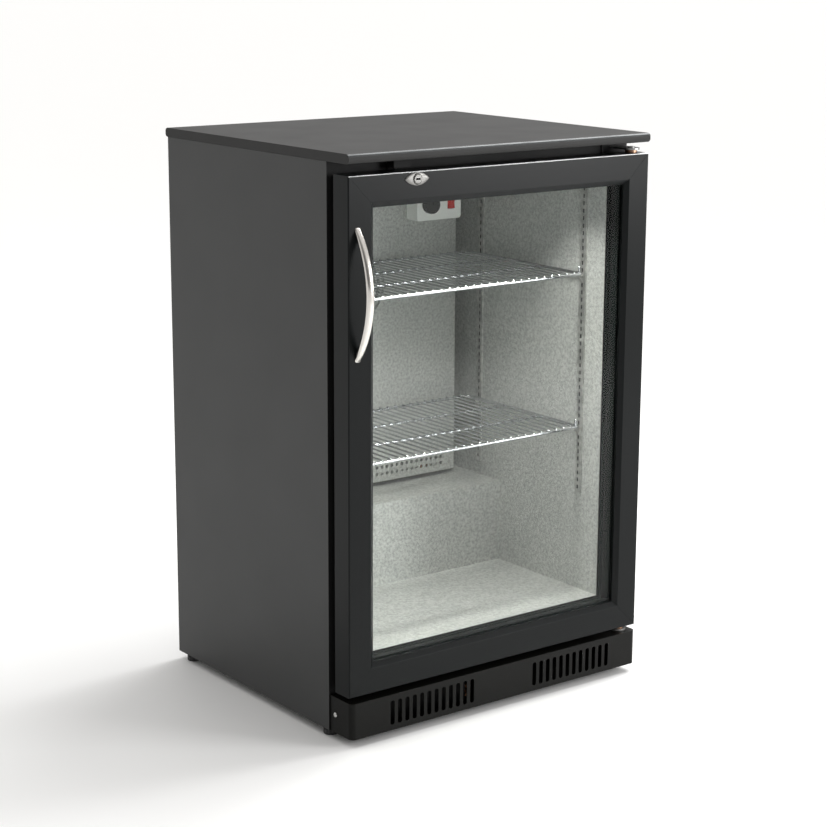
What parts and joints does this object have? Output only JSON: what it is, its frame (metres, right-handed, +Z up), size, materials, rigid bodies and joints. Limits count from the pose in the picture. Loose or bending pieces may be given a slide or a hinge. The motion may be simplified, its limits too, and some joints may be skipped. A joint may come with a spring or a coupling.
{
  "type": "under counter fridge",
  "caption": "Upright back bar bottle cooler with one glazed swing door, wire shelves, a flat lid and a slotted kick plate.",
  "frame": {"origin": "on the floor, under the middle of the whole outline, feet screwed in and door shut", "axes": "+Z up, +Y towards the back, +X to the right as seen from the front; the door is at -Y"},
  "size_m": [0.6, 0.556, 0.92],
  "materials": {
    "black_steel": "satin powder coat",
    "back_steel": "satin powder coat",
    "lid_steel": "fine speckled satin coat",
    "base_steel": "satin black coat",
    "galvanised_steel": "zinc plated",
    "insulation_foam": "closed cell foam",
    "liner_aluminium": "stucco embossed",
    "coil_aluminium": "mill finish",
    "copper": "bare copper tube",
    "white_plastic": "moulded",
    "diffuser": "opal diffuser",
    "black_plastic": "moulded",
    "red_plastic": "moulded",
    "motor_steel": "pressed laminations",
    "compressor_steel": "black enamel",
    "black_rubber": "soft",
    "door_aluminium": "black anodised",
    "clear_glass": "clear tempered",
    "handle_steel": "satin nickel",
    "lock_chrome": "satin chrome",
    "shelf_chrome": "bright plated wire"
  },
  "bodies": {
    "cabinet": {"left_side_panel": "black_steel", "right_side_panel": "black_steel", "back_panel": "back_steel", "top_panel": "lid_steel", "front_rails": "black_steel", "bottom_panel": "galvanised_steel", "base_plate": "base_steel", "insulation": "insulation_foam", "inner_liner": "liner_aluminium", "left_pilasters": "galvanised_steel", "right_pilasters": "galvanised_steel", "shelf_clips": "galvanised_steel", "top_hinge_plate": "galvanised_steel", "bottom_hinge_plate": "galvanised_steel", "lock_strike": "black_steel", "kick_plate": "base_steel", "rear_grille": "black_steel", "panel_screws": "galvanised_steel", "rear_spacers": "black_plastic", "cord_gland": "black_plastic", "lamp_housing": "white_plastic", "lamp_lens": "diffuser", "control_box": "white_plastic", "evaporator_coil": "coil_aluminium", "evaporator_cover": "liner_aluminium", "evaporator_fan_motor": "motor_steel", "drain_tube": "white_plastic", "compressor": "compressor_steel", "compressor_mounts": "black_rubber", "relay_box": "black_plastic", "condenser_coil": "copper", "condenser_fan_shroud": "black_steel", "condenser_fan_motor": "motor_steel", "filter_drier": "copper", "refrigerant_lines": "copper", "evaporation_tray": "black_plastic"},
    "door": {"door_frame_left": "door_aluminium", "door_frame_right": "door_aluminium", "door_frame_top": "door_aluminium", "door_frame_bottom": "door_aluminium", "door_corner_keys": "coil_aluminium", "outer_glass": "clear_glass", "inner_glass": "clear_glass", "glass_spacer": "door_aluminium", "door_gasket": "black_rubber", "door_handle": "handle_steel", "handle_screws": "galvanised_steel", "lock_escutcheon": "lock_chrome", "hinge_bushes": "copper"},
    "lock": {"lock_cylinder": "lock_chrome"},
    "evaporator_fan": {"evaporator_fan": "black_plastic"},
    "condenser_fan": {"condenser_fan": "white_plastic"},
    "upper_shelf": {"upper_shelf": "shelf_chrome"},
    "lower_shelf": {"lower_shelf": "shelf_chrome"},
    "front_left_foot": {"front_left_foot": "black_plastic"},
    "front_right_foot": {"front_right_foot": "black_plastic"},
    "rear_left_foot": {"rear_left_foot": "black_plastic"},
    "rear_right_foot": {"rear_right_foot": "black_plastic"},
    "thermostat_knob": {"thermostat_knob": "black_plastic"},
    "light_switch": {"light_switch": "red_plastic"}
  },
  "joints": [
    {"name": "door_hinge", "type": "hinge", "parent": "cabinet", "child": "door", "pos_m": [0.277, -0.223, 0.485], "axis": [0, 0, 1], "range_deg": [0, 120]},
    {"name": "lock_turn", "type": "hinge", "parent": "door", "child": "lock", "pos_m": [-0.174, -0.222, 0.8765], "axis": [0, 1, 0], "range_deg": [0, 90]},
    {"name": "evaporator_fan_spin", "type": "hinge", "parent": "cabinet", "child": "evaporator_fan", "pos_m": [0, 0.185, 0.64], "axis": [0, 1, 0], "continuous": true},
    {"name": "condenser_fan_spin", "type": "hinge", "parent": "cabinet", "child": "condenser_fan", "pos_m": [-0.014, 0.19, 0.118], "axis": [1, 0, 0], "continuous": true},
    {"name": "upper_shelf_lift", "type": "slide", "parent": "cabinet", "child": "upper_shelf", "axis": [0, 0, 1], "range_m": [0, 0.02]},
    {"name": "lower_shelf_lift", "type": "slide", "parent": "cabinet", "child": "lower_shelf", "axis": [0, 0, 1], "range_m": [0, 0.02]},
    {"name": "front_left_foot_screw", "type": "slide", "parent": "cabinet", "child": "front_left_foot", "axis": [0, 0, -1], "range_m": [0, 0.012]},
    {"name": "front_right_foot_screw", "type": "slide", "parent": "cabinet", "child": "front_right_foot", "axis": [0, 0, -1], "range_m": [0, 0.012]},
    {"name": "rear_left_foot_screw", "type": "slide", "parent": "cabinet", "child": "rear_left_foot", "axis": [0, 0, -1], "range_m": [0, 0.012]},
    {"name": "rear_right_foot_screw", "type": "slide", "parent": "cabinet", "child": "rear_right_foot", "axis": [0, 0, -1], "range_m": [0, 0.012]},
    {"name": "thermostat_turn", "type": "hinge", "parent": "cabinet", "child": "thermostat_knob", "pos_m": [0.143, 0.133, 0.775], "axis": [0, 1, 0], "range_deg": [0, 270]},
    {"name": "light_switch_rock", "type": "hinge", "parent": "cabinet", "child": "light_switch", "pos_m": [0.191, 0.141, 0.775], "axis": [-1, 0, 0], "range_deg": [0, 16]}
  ]
}
